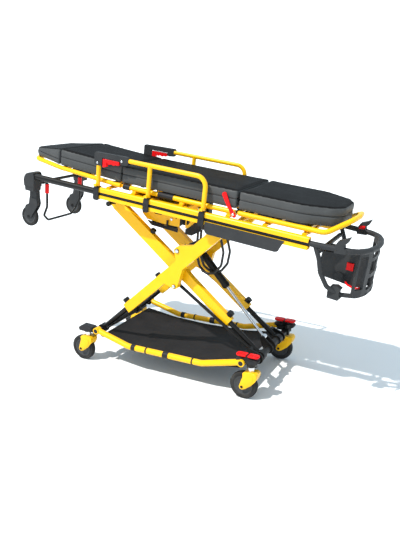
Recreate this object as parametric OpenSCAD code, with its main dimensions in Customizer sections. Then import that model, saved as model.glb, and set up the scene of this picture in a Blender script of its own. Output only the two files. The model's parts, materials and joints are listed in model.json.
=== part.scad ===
// Powered X-frame stretcher trolley: wheeled base, telescoping lift arms and a tilting patient litter.
/* [Stance] */
// Height of the side rail centre line above the floor at mid length
litter_h = 953; // [945:1:960]
// Nose-down slope of the litter towards the foot end, degrees
tilt = 7.3; // [7.0:0.1:7.6]
// Angle of the outer lift arms above the floor, degrees
outer_ang = 40.68; // [40.4:0.1:40.9]
// Angle of the inner lift arms above the floor, degrees
inner_ang = 40.18; // [40.0:0.1:40.4]
/* [Casters] */
// Diameter of each floor caster wheel
wheel_d = 152; // [148:1:152]
// Width of each floor caster wheel
wheel_w = 34; // [28:1:36]
// Diameter of each loading wheel at the head end
load_d = 122; // [112:1:124]
/* [Litter] */
// Half width of the mattress
mat_hw = 210; // [200:1:211]
// Thickness of the mattress sections
mat_t = 96; // [80:1:100]
// Outside diameter of the upper litter tubes
tube_d = 26; // [22:1:27]
// Outside diameter of the guard rail tube
guard_d = 24; // [20:1:25]
// Height of the guard rail tube above the side rail centre line
guard_h = 219; // [212:1:222]
/* [Details] */
// Bend radius of the base side rails
base_bend = 120; // [80:10:160]
// Number of sides on the swept tubes
tube_n = 18; // [16:2:22]
/* [Hidden] */
$fn = 48;
xs = -54.09;
yel = [0.98,0.80,0.06]; blk = [0.07,0.07,0.08]; gry = [0.30,0.30,0.31]; red = [0.86,0.06,0.08]; pad = [0.15,0.15,0.17]; stl = [0.75,0.76,0.78];
hx = -440; hz = 182;      // head crossbar axis
fx = 560;  fz = 188;      // foot crossbar axis
sw_h = -486; sw_f = 566;  // caster swivel axes
trail = 40;
cyh = 270; cyf = 264;     // caster half tracks
oy = 181; iy = 120; ly = 148.5;
la = 531; lang = 34.65;   // lower link length and angle
bx = 525; bz = 240; clen = 649.3; cang = 49.0;

function unit(v) = v/norm(v);
function arcp(a,b,c,R,k) = let(u=unit(a-b), v=unit(c-b), cs=max(-1,min(1,u*v)), g=acos(cs))
  g > 178 ? [b] : let(d=min(R/tan(g/2), 0.48*norm(a-b), 0.48*norm(c-b)), RR=d*tan(g/2), m=unit(u+v), o=b+m*(RR/sin(g/2)), s=b+u*d-o, e=b+v*d-o, w=180-g)
  [for (i=[0:k]) o + (sin((1-i/k)*w)*s + sin(i/k*w)*e)/sin(w)];
function fil(P,R,k=5) = [P[0], for (i=[1:len(P)-2]) each arcp(P[i-1],P[i],P[i+1],R,k), P[len(P)-1]];
function tang(P,i) = let(n=len(P)) unit((i<n-1 ? unit(P[i+1]-P[i]) : [0,0,0]) + (i>0 ? unit(P[i]-P[i-1]) : [0,0,0]));
module sweep(P, r, ref, n=tube_n, ry=0) {
  m = len(P); q = ry == 0 ? r : ry;
  pts = [for (i=[0:m-1]) let(t=tang(P,i), N=unit(cross(t,ref)), B=cross(t,N)) for (j=[0:n-1]) P[i] + r*cos(360*j/n)*N + q*sin(360*j/n)*B];
  polyhedron(points=pts, faces=concat([[for (j=[0:n-1]) j]], [for (i=[0:m-2]) for (j=[0:n-1]) [i*n+j,(i+1)*n+j,(i+1)*n+(j+1)%n,i*n+(j+1)%n]], [[for (j=[n-1:-1:0]) (m-1)*n+j]]), convexity=8);
}
function cap2(a,r1,b,r2,k=14) = let(d=b-a, L=norm(d), g=atan2(d[1],d[0]), be=acos((r1-r2)/L))
  concat([for (i=[0:k]) let(t=g+be+(360-2*be)*i/k) a+r1*[cos(t),sin(t)]], [for (i=[0:k]) let(t=g-be+2*be*i/k) b+r2*[cos(t),sin(t)]]);
module base() { translate([xs,0,0]) children(); }
module lit() { translate([xs,0,litter_h]) rotate([0,tilt,0]) children(); }
module back() { lit() translate([-250,0,70]) rotate([0,3.2,0]) children(); }
module ycyl(x,z,r,y0,y1) { translate([x,y0,z]) rotate([-90,0,0]) cylinder(r=r,h=y1-y0); }
module side(s) { if (s > 0) children(); else mirror([0,1,0]) children(); }
// plate in the X-Z plane between y0 and y1
module xz(y0,y1) { translate([0,y1,0]) rotate([90,0,0]) linear_extrude(y1-y0) children(); }
module block(x0,x1,y0,y1,z0,z1) { translate([x0,y0,z0]) cube([x1-x0,y1-y0,z1-z0]); }
module both() { children(); mirror([0,1,0]) children(); }

module head_crossbar() color(blk) base() {
  ycyl(hx,hz,19,-262,262);
  both() difference() {
    union() {
      translate([sw_h,cyh,188]) cylinder(r=25,h=26);
      block(sw_h,hx+12,250,288,190,206);
      block(hx-14,hx+14,246,266.8,176,206);
      block(hx,-390,252,266.8,193,219);
      translate([sw_h,cyh,214]) cylinder(r1=25,r2=14,h=7);
    }
    translate([sw_h,cyh,187]) cylinder(r=8.4,h=20);
  }
}
module foot_crossbar() color(blk) base() {
  ycyl(fx,fz,19,-240,240);
  both() {
    difference() {
      union() {
        translate([sw_f,cyf,188]) cylinder(r=24,h=44);
        block(542,586,232,246,172,206); block(542,586,240,262,189,206);
        block(506,566,246,266.8,193,219);
        block(520,582,248,292,232,238);
        translate([546,252,238]) cube([6,5,9]); translate([546,285,238]) cube([6,5,9]);
      }
      translate([sw_f,cyf,187]) cylinder(r=8.4,h=20);
    }
    ycyl(549,248,3.2,252,290);
    xz(158.6,168) polygon(cap2([fx,fz],30,[510,225],13));
    ycyl(510,225,6,138.2,166);
    xz(17,23) polygon(cap2([fx,fz],30,[bx,bz],14));
  }
  ycyl(bx,bz,6,-24,24);
}
module base_rail(s) color(yel) base() side(s) {
  sweep(fil([[-404,284,210],[-186,284,151],[284,284,151],[519,284,210]],base_bend,6), 17, [0,1,0]);
  for (x=[-404,522]) { ycyl(x,210,19,268,300.6); difference() { ycyl(x,210,19,300.6,304); ycyl(x,210,13.4,300.5,305); } }
}
module base_rail_left() base_rail(-1);
module base_rail_right() base_rail(1);
module rail_trim() color(blk) base() both() {
  for (x=[-404,522]) ycyl(x,210,13,301.2,304.6);
  for (q=[[-150,26],[-64,8],[64,34],[232,8]]) translate([q[0]-q[1]/2,284,151]) rotate([0,90,0]) difference() { cylinder(r=19.2,h=q[1]); translate([0,0,-1]) cylinder(r=17.35,h=q[1]+2); }
}
module storage_net() color(pad) base() {
  xz(-258,258) polygon([[-402,166],[-186,139],[20,132],[284,139],[498,166],[500,158],[284,131],[20,124],[-186,131],[-404,158]]);
}
module fork(sx,cy,top) color(yel) base() translate([sx,cy,0]) {
  translate([0,0,158]) cylinder(r=27,h=8);
  translate([-44,-29,154]) cube([52,58,8]);
  translate([0,0,165]) cylinder(r=17,h=top-165);
  translate([0,0,168]) cylinder(r=8,h=36);
  for (s=[-1,1]) xz(s>0?24:-29, s>0?29:-24) difference() {
    union() {
      polygon(cap2([-trail,wheel_d/2],14,[-14,138],27));
      polygon([[-52,108],[-44,162],[8,162],[13,138]]);
    }
    translate([-21,126]) circle(r=8);
  }
  ycyl(-trail,wheel_d/2,6,-33,33);
  ycyl(-trail,wheel_d/2,9,-32.5,-29); ycyl(-trail,wheel_d/2,9,29,32.5);
}
module caster_fork_head_left() fork(sw_h,-cyh,187.5);
module caster_fork_head_right() fork(sw_h,cyh,187.5);
module caster_fork_foot_left() fork(sw_f,-cyf,187.5);
module caster_fork_foot_right() fork(sw_f,cyf,187.5);
module wheel(r,w,b) {
  rotate([90,0,0]) rotate_extrude($fn=64) polygon([[b,-w/2],[r*0.22,-w/2],[r*0.24,-w/2+5],[r*0.62,-w/2+6],[r*0.68,-w/2+1],[r*0.9,-w/2],[r*0.97,-w/2+4],[r,-w/2+10],[r,w/2-10],[r*0.97,w/2-4],[r*0.9,w/2],[r*0.68,w/2-1],[r*0.62,w/2-6],[r*0.24,w/2-5],[r*0.22,w/2],[b,w/2]]);
}
module cwheel(sx,cy) color(blk) base() translate([sx-trail,cy,wheel_d/2]) wheel(wheel_d/2,wheel_w,6.35);
module caster_wheel_head_left() cwheel(sw_h,-cyh);
module caster_wheel_head_right() cwheel(sw_h,cyh);
module caster_wheel_foot_left() cwheel(sw_f,-cyf);
module caster_wheel_foot_right() cwheel(sw_f,cyf);
module pedal(s) color(red) base() side(s) difference() {
  xz(248,292) polygon([[466,245],[472,242],[530,248.5],[541,244],[557,244],[568,248],[614,242],[620,245],[622,252],[600,258],[556,258],[549,254.6],[542,258],[496,258],[466,252]]);
  ycyl(549,248,3.6,240,300);
  block(544,554,250.2,258.7,230,253); block(544,554,283.3,291.8,230,253);
}
module brake_pedal_left() pedal(-1);
module brake_pedal_right() pedal(1);

module oarm() { translate([hx,0,hz]) rotate([0,-outer_ang,0]) children(); }
module iarm() { translate([fx,0,fz]) rotate([0,inner_ang-180,0]) mirror([0,0,1]) children(); }
module outer_leg_tubes() color(blk) base() oarm() both() {
  difference() { ycyl(0,0,27,159,203); ycyl(0,0,19.4,158,204); }
  translate([24,oy,0]) rotate([0,90,0]) cylinder(r=15,h=546);
}
module outer_arm(s) color(yel) base() oarm() side(s) difference() {
  xz(163,199) polygon([[245,-28],[572,-28],[604,-88],[622,-92],[634,-84],[722,-32],[1046,-32],[1076,-24],[1092,-4],[1092,8],[1076,26],[1052,32],[858,32],[790,80],[775,83],[754,82],[722,28],[245,28]]);
  translate([240,oy,0]) rotate([0,90,0]) cylinder(r=15.5,h=565);
  ycyl(1061,0,10.5,160,202);
  ycyl(766,64,9,160,202);
  ycyl(613.8,-73,6,160,202);
}
module outer_arm_left() outer_arm(-1);
module outer_arm_right() outer_arm(1);
module arm_cross_shaft() color(blk) base() oarm() {
  ycyl(766,64,8.8,-199,199);
  ycyl(766,64,12,199.2,203.6); ycyl(766,64,12,-203.6,-199.2);
  both() {
    block(738,800,141,162.8,56,73);
    ycyl(613.8,-73,5.8,158.4,203.6); ycyl(613.8,-73,11,199.2,203.6);
    translate([272,oy,28.2]) rotate([0,0,90]) linear_extrude(24) circle(r=19,$fn=6);
    translate([560,oy,28.2]) rotate([0,0,90]) linear_extrude(16) circle(r=16,$fn=6);
  }
}
module inner_leg_tubes() color(blk) base() iarm() both() {
  difference() { ycyl(0,0,27,103,137); ycyl(0,0,19.4,102,138); }
  translate([24,iy,0]) rotate([0,90,0]) cylinder(r=14,h=470);
}
module inner_arm(s) color(yel) base() iarm() side(s) difference() {
  union() {
    xz(103,137) polygon([[243,-27],[560,-28],[640,-35],[1160,-35],[1190,-28],[1206,-8],[1206,8],[1190,28],[1160,35],[640,35],[560,28],[243,27]]);
  }
  translate([238,iy,0]) rotate([0,90,0]) cylinder(r=14.5,h=500);
  ycyl(1178,0,9,100,140);
}
module inner_arm_left() inner_arm(-1);
module inner_arm_right() inner_arm(1);
module inner_cross_tube() color(blk) base() iarm() {
  ycyl(1178,0,8.8,-200,200);
  both() {
    ycyl(1178,0,14,184,200);
    translate([272,iy,27.2]) rotate([0,0,90]) linear_extrude(24) circle(r=19,$fn=6);
    translate([900,iy,35.2]) rotate([0,0,90]) linear_extrude(20) circle(r=17,$fn=6);
  }
}
module lower_links() color(blk) base() translate([510,0,225]) rotate([0,lang-180,0]) mirror([0,0,1]) both() {
  difference() {
    union() { ycyl(0,0,14,139.5,157.5); ycyl(la,0,14,139.5,157.5); translate([10,ly,0]) rotate([0,90,0]) cylinder(r=9,h=la-20); }
    ycyl(0,0,6.4,139,158);
  }
}
module cyl() { translate([bx,0,bz]) rotate([0,cang-180,0]) mirror([0,0,1]) children(); }
module cylinder_rod() color(stl) base() cyl() difference() {
  union() { ycyl(0,0,15,-15,15); translate([10,0,0]) rotate([0,90,0]) cylinder(r=8,h=352); }
  ycyl(0,0,6.4,-16,16);
}
module cylinder_barrel() color(blk) base() cyl() difference() {
  union() {
    translate([345,0,0]) rotate([0,90,0]) cylinder(r=21,h=232);
    translate([340,0,0]) rotate([0,90,0]) cylinder(r=16,h=20);
    translate([352,0,0]) rotate([0,90,0]) cylinder(r=23,h=16);
    translate([566,0,0]) rotate([0,90,0]) cylinder(r=23,h=22);
    block(572,584,-6,6,18,34);
  }
  translate([338,0,0]) rotate([0,90,0]) cylinder(r=8.5,h=226);
}

module rail(s) color(yel) lit() side(s) {
  translate([-395,0,0]) rotate([90,0,90]) linear_extrude(1230) difference() {
    union() {
      polygon([[206,-14],[208,-16],[245,-16],[247,-14],[247,3],[235,3],[235,20],[247,20],[247,33.5],[228,40],[206,40]]);
      translate([235,33.5]) circle(r=12.5);
    }
    translate([228.3,15]) circle(r=18.5);
    translate([228,3]) square([24,17]);
  }
}
module litter_rail_left() rail(-1);
module litter_rail_right() rail(1);
module litter_frame() color(yel) {
  base() oarm() ycyl(1061,0,10,-205.8,205.8);
  lit() litter_beams();
}
module litter_beams() {
  both() {
    translate([-238,198,70]) rotate([0,90,0]) cylinder(r=tube_d/2,h=668);
    for (u=[-330,-165,130,400,600,800]) block(u-11,u+11,176,216,40.2,50);
    for (u=[-165,130,400]) block(u-11,u+11,186,208,50,60);
  }
  for (u=[-330,-165,130,400,600,800]) block(u-14,u+14,-176,176,40.2,50);
}
module rail_clamps() color(blk) lit() {
  both() {
    for (u=[-382,-56,274]) {
      xz(248,257) polygon([[u-17,-12],[u-12,-25],[u+12,-25],[u+17,-12],[u+15,42],[u+9,50.4],[u-9,50.4],[u-15,42]]);
      block(u-14,u+14,222,249,46.3,50.4);
      block(u-12,u+12,206,249,-23,-16.3);
      ycyl(u,12,5,257,259);
    }
    for (q=[[-236,42],[-14,92]]) translate([q[0],198,70]) rotate([0,90,0]) difference() { cylinder(r=tube_d/2+2.5,h=q[1]); translate([0,0,-1]) cylinder(r=tube_d/2+0.3,h=q[1]+6); }
  }
}
module motor_bracket() color(yel) lit() {
  both() {
    difference() {
      xz(66,71) polygon([[-190,40],[-190,-88],[-156,-118],[-42,-124],[55,-119],[55,-28],[92,-28],[92,-116],[109,-114],[156,-66],[160,40]]);
      xz(60,80) polygon([[-140,-26],[-104,-26],[-60,-66],[-60,-76],[-104,-78],[-140,-60]]);
      xz(60,80) polygon([[-68,-26],[-27,-30],[-31,-52]]);
      xz(60,80) polygon([[27,-40],[48,-42],[48,-62],[28,-82]]);
      xz(60,80) polygon([[97,-97],[97,-62],[103,-60],[119,-76],[110,-94]]);
    }
    ycyl(4,-86,9,71.2,74);
    block(-190,160,71,206,34,40);
  }
}
module motor_housing() color(blk) lit() {
  both() {
    xz(30,65.8) polygon([[-142,-60],[-150,-104],[-119,-130],[36,-130],[50,-118],[50,-50],[30,-44]]);
    xz(30,65.8) polygon([[98,-60],[98,-122],[136,-136],[186,-104],[192,-72],[180,-50],[100,-48]]);
    xz(71.4,77) polygon([[-152,-122],[-119,-146],[50,-150],[50,-127],[-42,-129]]);
    xz(71.4,77) polygon([[98,-119],[98,-148],[140,-148],[190,-112],[196,-76],[162,-70],[113,-116]]);
    block(-23,-13,77.2,80,-140,-96);
    block(-22,-14,71.4,77.2,-129,-96);
  }
  block(-90,10,-31,31,-90,-48);
  translate([-96,0,-4]) rotate([0,90,0]) cylinder(r=34,h=144);
  block(-60,40,-30,30,-60,-20);
  block(-110,186,-20,20,28,36);
  both() { block(-80,-64,20,65.8,-60,36); block(166,180,20,65.8,-52,36); block(-118,-106,65.8,77,-140,-126); block(124,136,65.8,77,-142,-128); }
}
module side_skirts() color(gry) lit() both() {
  xz(248,251) polygon(concat([[296,2]],[for (i=[0:8]) [322-26*cos(90*i/8),-34-26*sin(90*i/8)]],[for (i=[0:6]) [676+26*sin(90*i/6),-62+18*(1-cos(90*i/6))]],[[722,2]]));
  block(300,712,207,250,-19,-16.3);
}
function trap(x0,x1,x2,x3,h0,h1,h2) = [[x0,-h0],[x1,-h0],[x2,-h1],[x3,-h2],[x3,h2],[x2,h1],[x1,h0],[x0,h0]];
module seat_cushion() color(pad) lit() block(-241,438,-mat_hw,mat_hw,88,88+mat_t);
module back_frame() color(yel) back() {
  sweep(fil([[-8,198,0],[-425,198,0],[-654,152,0],[-672,60,0],[-672,-60,0],[-654,-152,0],[-425,-198,0],[-8,-198,0]],52,5), tube_d/2, [0,0,1]);
  for (u=[-60,-250,-420]) block(u-14,u+14,-190,190,-6,6);
  ycyl(0,0,8,-190,190);
  both() block(-12,4,184,196,-9,9);
}
module back_cushion() color(pad) back() {
  block(-428,-5,-mat_hw,mat_hw,18,18+mat_t);
  intersection() {
    translate([0,0,18]) linear_extrude(mat_t) polygon([[-434,-mat_hw],[-652,-147],[-696,-98],[-706,-50],[-706,50],[-696,98],[-652,147],[-434,mat_hw]]);
    xz(-220,220) polygon([[-434,18],[-434,18+mat_t],[-655,71],[-708,60],[-708,18]]);
  }
}
module foot_frame() color(yel) lit() {
  sweep(fil([[452,198,70],[894,192,70],[984,92,130],[994,0,134],[984,-92,130],[894,-192,70],[452,-198,70]],55,5), tube_d/2, [0.22,0,-1]);
  for (u=[500,650,800]) block(u-14,u+14,-188,188,64,76);
  ycyl(445,70,7,-188,188);
  both() block(441,480,182,191,62,78);
}
module foot_cushion() color(pad) lit() {
  translate([0,0,88]) linear_extrude(mat_t) polygon([[446,-mat_hw],[770,-mat_hw],[908,-142],[942,-80],[942,80],[908,142],[770,mat_hw],[446,mat_hw]]);
}
module guard(s) color(yel) lit() side(s) {
  sweep(fil([[-190,236,guard_h],[273,236,guard_h],[273,236,52]],52,7), guard_d/2, [0,1,0]);
  for (u=[-382,-56]) translate([u,236,52]) cylinder(r=guard_d/2,h=(u<-100?165.7:guard_h-4)-52);
  for (u=[-382,-56,273]) { block(u-9,u+9,236,266,54,64); ycyl(u,59,0.1,236,237); }
}
module guard_rail_left() guard(-1);
module guard_rail_right() guard(1);
module plate(s) color(blk) lit() side(s) difference() {
  union() {
    xz(231,249) polygon([[-404,174],[-398,166],[-360,166],[-353,172],[-353,210.4],[-236,210.4],[-236,197],[-228,191],[-192,195],[-185,202],[-185,234],[-192,240],[-395,236],[-404,228]]);
  }
  translate([-190.4,236,guard_h]) rotate([0,90,0]) cylinder(r=guard_d/2+0.2,h=20);
}
module handle_plate_left() plate(-1);
module handle_plate_right() plate(1);
module grip(s) color(red) lit() side(s) {
  xz(234,252) polygon([[-346,163],[-340,161],[-322,168],[-320,180],[-325,186],[-317,190],[-310,184],[-303,181],[-297,183],[-291,189],[-284,184],[-277,181],[-270,183],[-264,189],[-257,185],[-248,186],[-240,192],[-241,206],[-346,206]]);
}
module release_grip_left() grip(-1);
module release_grip_right() grip(1);
module lever(s) color(red) lit() side(s) difference() {
  xz(213,220) union() { polygon(cap2([430,62],11,[408,92],8)); polygon(cap2([404,96],9,[372,152],12)); polygon(cap2([430,62],11,[437,56],9)); }
}
module section_lever_left() lever(-1);
module section_lever_right() lever(1);

module head_tubes() color(blk) lit() both() translate([-885,228.3,15]) rotate([0,90,0]) cylinder(r=18,h=1008);
module wheel_housings() color(gry) lit() {
  both() {
    difference() {
      union() {
        xz(183,251) polygon([[-908,-46],[-912,-8],[-905,14],[-891,29],[-872,37],[-852,39],[-840,36],[-834,24],[-834,-46]]);
        xz(185,248) polygon([[-902,-72],[-906,-46],[-838,-46],[-840,-68],[-846,-72]]);
        xz(186,216) polygon([[-896,-70],[-847,-70],[-840,-150],[-848,-170],[-872,-176],[-899,-166]]);
      }
      translate([-886,228.3,15]) rotate([0,90,0]) cylinder(r=18.2,h=60);
    }
    for (y=[184,213.4]) xz(y,y+4.6) polygon([[-898,-120],[-844,-120],[-838,-150],[-843,-172],[-874,-222],[-886,-244],[-897,-255],[-910,-258],[-921,-252],[-925,-240],[-931,-212],[-934,-186],[-926,-172],[-904,-160]]);
    ycyl(-907,-241,5,184.5,217.5); ycyl(-907,-241,10,218,221);
    ycyl(-907,-241,10,181,184);
    block(-884,-841,196,208,-33,-15);
  }
  ycyl(-850,-24,9,-209,209);
}
module lwheel(s) color(blk) lit() side(s) translate([-907,201,-241]) wheel(load_d/2,22,5.3);
module load_wheel_left() lwheel(-1);
module load_wheel_right() lwheel(1);
module safety_bar() color(blk) lit() {
  sweep(fil([[-822,151,-22],[-820,151,-175],[-848,147,-236],[-850,108,-272],[-850,-108,-272],[-848,-147,-236],[-820,-151,-175],[-822,-151,-22]],26,4), 7, [1,0,0.2], 14);
  both() {
    translate([-821.8,151,-90]) rotate([0,0.4,0]) cylinder(r=11.5,h=54);
    difference() { ycyl(-850,-24,16,143,159); ycyl(-850,-24,9.4,142,160); }
    block(-838,-822,145,157,-33,-15);
  }
}
module foot_end_loop() color(gry) lit() {
  // upper loop: side tubes run out of the rails and close in a flattened D
  both() {
    sweep(fil([[400,228.3,15],[862,228.3,15],[1024,204,15],[1070,174,15],[1096,116,15],[1109,50,15],[1110,0,15]],60,4), 14, [0,0,1], 16);
    sweep(fil([[866,224,6],[892,222,-50],[906,205,-120],[940,176,-190],[1000,140,-226],[1072,116,-222],[1100,72,-214],[1108,0,-212]],40,4), 11.5, [0,0.9,-0.4], 16);
  }
  // curved end panel with windows
  difference() {
    translate([0,0,-214]) linear_extrude(238) polygon([[1064,-168],[1094,-122],[1112,-60],[1115,0],[1112,60],[1094,122],[1064,168],[1053,160],[1081,116],[1098,54],[1100,0],[1098,-54],[1081,-116],[1053,-160]]);
    for (z=[[-190,-130],[-108,-46],[-26,4]]) for (y=[-82,8]) block(1072,1140,y,y+74,z[0],z[1]);
    for (y=[-137,137]) block(1030,1100,y-22,y+22,-180,-14);
  }
}
module control_box() color(gry) lit() difference() {
  union() {
    xz(-48,48) polygon([[858,-62],[1052,-42],[1076,-60],[1070,-196],[1040,-206],[964,-196],[880,-188],[850,-170]]);
    block(870,930,-24,24,-70,-34); block(864,884,-209,209,-34.5,-22);
    ycyl(962,-168,24,-60,60);
    block(1040,1099,-14,14,-190,-60);
  }
  both() block(988,1024,36,60,-126,-86);
}
module power_button(s) color(red) lit() side(s) block(989,1023,41.5,56,-125,-87);
module power_button_left() power_button(-1);
module power_button_right() power_button(1);
module foot_claws() color(gry) lit() both() {
  difference() {
    xz(192,226) polygon([[956,-4],[1006,0],[1012,18],[1000,24],[994,34],[998,46],[1008,54],[1018,82],[990,66],[966,56],[954,32]]);
    sweep(fil([[862,228.3,15],[1024,204,15],[1070,174,15],[1096,116,15]],60,4), 14.4, [0,0,1], 16);
  }
  difference() {
    xz(126,162) polygon([[946,-250],[1000,-252],[1012,-236],[1002,-226],[1000,-206],[1008,-192],[986,-180],[956,-186],[944,-210]]);
    sweep(fil([[906,205,-120],[940,176,-190],[1000,140,-226],[1072,116,-222],[1100,72,-214]],40,4), 12, [0,0.9,-0.4], 16);
  }
}
module release_bars() color(red) lit() both() sweep(fil([[998,54,-184],[1008,57,-196],[1034,57,-204],[1062,57,-204],[1080,54,-190]],14,3), 5, [0,1,0], 12);
hose_f = [[200.4,-60,-84],[262,-60,-84],[310,-60,-130],[334,-60,-200],[330,-60,-276],[294,-60,-332],[244,-60,-346],[198,-60,-312],[176,-58,-250],[168,-56,-180],[166,-54,-119.4]];
hose_r = [[200.4,-36,-90],[270,-34,-90],[334,-32,-126],[358,-30,-196],[352,-30,-268],[318,-31,-322],[268,-34,-340],[216,-38,-314],[188,-40,-254],[180,-40,-186],[178,-40,-113.8]];
module hose_front() color(blk) lit() sweep(fil(hose_f,40,3), 5.5, [0,1,0.05], 10);
module hose_rear() color(blk) lit() sweep(fil(hose_r,40,3), 5.5, [0,1,-0.05], 10);

head_crossbar();
foot_crossbar();
base_rail_left();
base_rail_right();
rail_trim();
storage_net();
caster_fork_head_left();
caster_fork_head_right();
caster_fork_foot_left();
caster_fork_foot_right();
caster_wheel_head_left();
caster_wheel_head_right();
caster_wheel_foot_left();
caster_wheel_foot_right();
brake_pedal_left();
brake_pedal_right();
outer_leg_tubes();
outer_arm_left();
outer_arm_right();
arm_cross_shaft();
inner_leg_tubes();
inner_arm_left();
inner_arm_right();
inner_cross_tube();
lower_links();
cylinder_barrel();
cylinder_rod();
litter_rail_left();
litter_rail_right();
litter_frame();
rail_clamps();
motor_bracket();
motor_housing();
side_skirts();
seat_cushion();
back_frame();
back_cushion();
foot_frame();
foot_cushion();
guard_rail_left();
guard_rail_right();
handle_plate_left();
handle_plate_right();
release_grip_left();
release_grip_right();
section_lever_left();
section_lever_right();
head_tubes();
wheel_housings();
load_wheel_left();
load_wheel_right();
safety_bar();
foot_end_loop();
control_box();
foot_claws();
power_button_left();
power_button_right();
release_bars();
hose_front();
hose_rear();
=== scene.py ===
import bpy, bmesh, math, json
import numpy as np
from mathutils import Vector, Matrix
from mathutils.bvhtree import BVHTree

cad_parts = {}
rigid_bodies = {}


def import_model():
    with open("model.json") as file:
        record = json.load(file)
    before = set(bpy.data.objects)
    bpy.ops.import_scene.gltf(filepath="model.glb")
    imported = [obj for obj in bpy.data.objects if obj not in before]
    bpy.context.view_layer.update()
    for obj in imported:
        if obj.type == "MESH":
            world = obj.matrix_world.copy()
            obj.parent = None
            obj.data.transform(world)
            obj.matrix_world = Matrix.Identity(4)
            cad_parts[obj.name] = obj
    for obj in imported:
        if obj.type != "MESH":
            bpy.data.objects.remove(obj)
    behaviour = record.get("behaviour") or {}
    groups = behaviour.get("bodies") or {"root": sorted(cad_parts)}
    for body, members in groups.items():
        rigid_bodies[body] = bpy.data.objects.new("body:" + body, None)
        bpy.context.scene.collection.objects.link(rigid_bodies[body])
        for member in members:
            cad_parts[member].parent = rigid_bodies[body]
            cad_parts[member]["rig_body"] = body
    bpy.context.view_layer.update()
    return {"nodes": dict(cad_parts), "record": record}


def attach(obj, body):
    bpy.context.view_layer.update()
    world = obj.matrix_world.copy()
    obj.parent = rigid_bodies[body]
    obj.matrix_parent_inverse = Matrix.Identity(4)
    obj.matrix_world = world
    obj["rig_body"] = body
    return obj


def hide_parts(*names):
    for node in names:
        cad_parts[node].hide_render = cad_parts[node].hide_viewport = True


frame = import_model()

MM = 0.001
XS = -54.09
LZ = 953.0
TILT = math.radians(7.3)
NODES = frame["nodes"]
scene = bpy.context.scene


# ---------------------------------------------------------------- frames
def base_m():
    return Matrix.Translation((XS * MM, 0, 0)) @ Matrix.Scale(MM, 4)


def lit_m():
    return Matrix.Translation((XS * MM, 0, LZ * MM)) @ Matrix.Rotation(TILT, 4, "Y") @ Matrix.Scale(MM, 4)


def back_m():
    return lit_m() @ Matrix.Translation((-250, 0, 70)) @ Matrix.Rotation(math.radians(2.8), 4, "Y")


def oarm_m():
    return base_m() @ Matrix.Translation((-440, 0, 182)) @ Matrix.Rotation(-math.radians(40.68), 4, "Y")


# ---------------------------------------------------------------- camera
def make_camera():
    az, el, roll = math.radians(28.497), math.radians(17.256), math.radians(-0.636)
    b = Vector((math.sin(az) * math.cos(el), -math.cos(az) * math.cos(el), math.sin(el)))
    r = Vector((0, 0, 1)).cross(b).normalized()
    u = b.cross(r)
    R = r * math.cos(roll) + u * math.sin(roll)
    U = u * math.cos(roll) - r * math.sin(roll)
    C = Vector((0, 0, 0.55)) + R * 0.113 - U * 0.006 + b * 3.362
    C.x += XS * MM
    # the photograph's other view is below; the object is centred in the frame instead
    cam = bpy.data.cameras.new("camera")
    cam.lens = 581.94 / 544 * 36
    cam.sensor_width = 36
    cam.sensor_fit = "AUTO"
    cam.clip_end = 60
    ob = bpy.data.objects.new("camera", cam)
    M = Matrix((R, U, b)).transposed().to_4x4()
    ob.matrix_world = Matrix.Translation(C) @ M
    scene.collection.objects.link(ob)
    scene.camera = ob
    return ob


CAM = make_camera()


# ---------------------------------------------------------------- small mesh tools
def new_mesh(name, verts, faces, smooth=True):
    me = bpy.data.meshes.new(name)
    me.from_pydata([tuple(v) for v in verts], [], faces)
    me.validate()
    ob = bpy.data.objects.new(name, me)
    scene.collection.objects.link(ob)
    if smooth:
        me.polygons.foreach_set("use_smooth", [True] * len(me.polygons))
    return ob


def from_bm(name, bm, smooth=True):
    bmesh.ops.recalc_face_normals(bm, faces=bm.faces)
    me = bpy.data.meshes.new(name)
    bm.to_mesh(me)
    bm.free()
    ob = bpy.data.objects.new(name, me)
    scene.collection.objects.link(ob)
    if smooth:
        me.polygons.foreach_set("use_smooth", [True] * len(me.polygons))
    return ob


def apply_mods(ob):
    bpy.context.view_layer.update()
    dg = bpy.context.evaluated_depsgraph_get()
    me = bpy.data.meshes.new_from_object(ob.evaluated_get(dg), preserve_all_data_layers=True, depsgraph=dg)
    old = ob.data
    ob.modifiers.clear()
    ob.data = me
    if old.users == 0:
        bpy.data.meshes.remove(old)
    return ob


def sharp(ob, deg=38):
    me = ob.data
    me.polygons.foreach_set("use_smooth", [True] * len(me.polygons))
    bm = bmesh.new()
    bm.from_mesh(me)
    lim = math.radians(deg)
    for e in bm.edges:
        e.smooth = not (len(e.link_faces) == 2 and e.calc_face_angle(0) > lim)
    bm.to_mesh(me)
    bm.free()
    return ob


def resample(P, step):
    P = [Vector(p) for p in P]
    out = [P[0]]
    for i in range(len(P) - 1):
        n = max(1, int(round((P[i + 1] - P[i]).length / step)))
        for k in range(1, n + 1):
            out.append(P[i].lerp(P[i + 1], k / n))
    return out


def smooth_path(P, n=8):
    """Catmull-Rom through the points"""
    P = [Vector(p) for p in P]
    Q = [P[0] * 2 - P[1]] + P + [P[-1] * 2 - P[-2]]
    out = []
    for i in range(1, len(Q) - 2):
        for k in range(n):
            t = k / n
            a, b, c, d = Q[i - 1], Q[i], Q[i + 1], Q[i + 2]
            out.append(0.5 * ((2 * b) + (c - a) * t + (2 * a - 5 * b + 4 * c - d) * t * t + (3 * b - a - 3 * c + d) * t ** 3))
    out.append(P[-1])
    return out


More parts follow.
